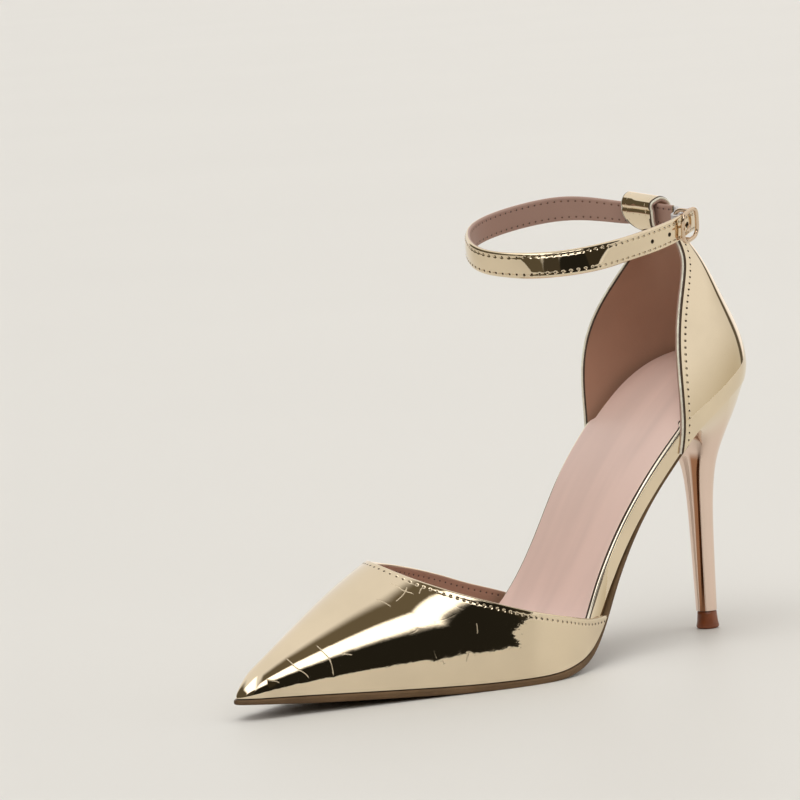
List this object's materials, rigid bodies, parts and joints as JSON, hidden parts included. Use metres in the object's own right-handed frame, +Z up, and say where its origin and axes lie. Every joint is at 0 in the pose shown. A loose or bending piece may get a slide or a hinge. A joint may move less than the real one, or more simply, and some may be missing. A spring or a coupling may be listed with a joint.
{
  "type": "stiletto pump",
  "caption": "Pointed stiletto pump with open sides, a hollow vamp and counter, a slim plated heel and a buckled ankle strap run through a folded tab, for the left foot.",
  "frame": {"origin": "middle of the shoe's box, on the floor that it stands on", "axes": "+X towards the toe, +Y towards the outer side of the left foot, +Z up"},
  "size_m": [0.2358, 0.0766, 0.1593],
  "materials": {
    "outsole": "smooth taupe sheet",
    "gold_leather": "pale gold mirror foil",
    "lining": "soft pink lining",
    "heel_plating": "rose gold plating",
    "heel_lift": "brown lift",
    "elastic": "white woven elastic",
    "buckle_plating": "rose gold plating"
  },
  "bodies": {
    "root": {"outsole": "outsole", "insole_board": "gold_leather", "insole_sock": "lining", "vamp": "gold_leather", "counter": "gold_leather", "heel": "heel_plating", "heel_tip": "heel_lift", "ankle_strap": "gold_leather", "buckle_elastic": "elastic", "buckle_frame": "buckle_plating", "buckle_prong": "buckle_plating"}
  },
  "joints": []
}
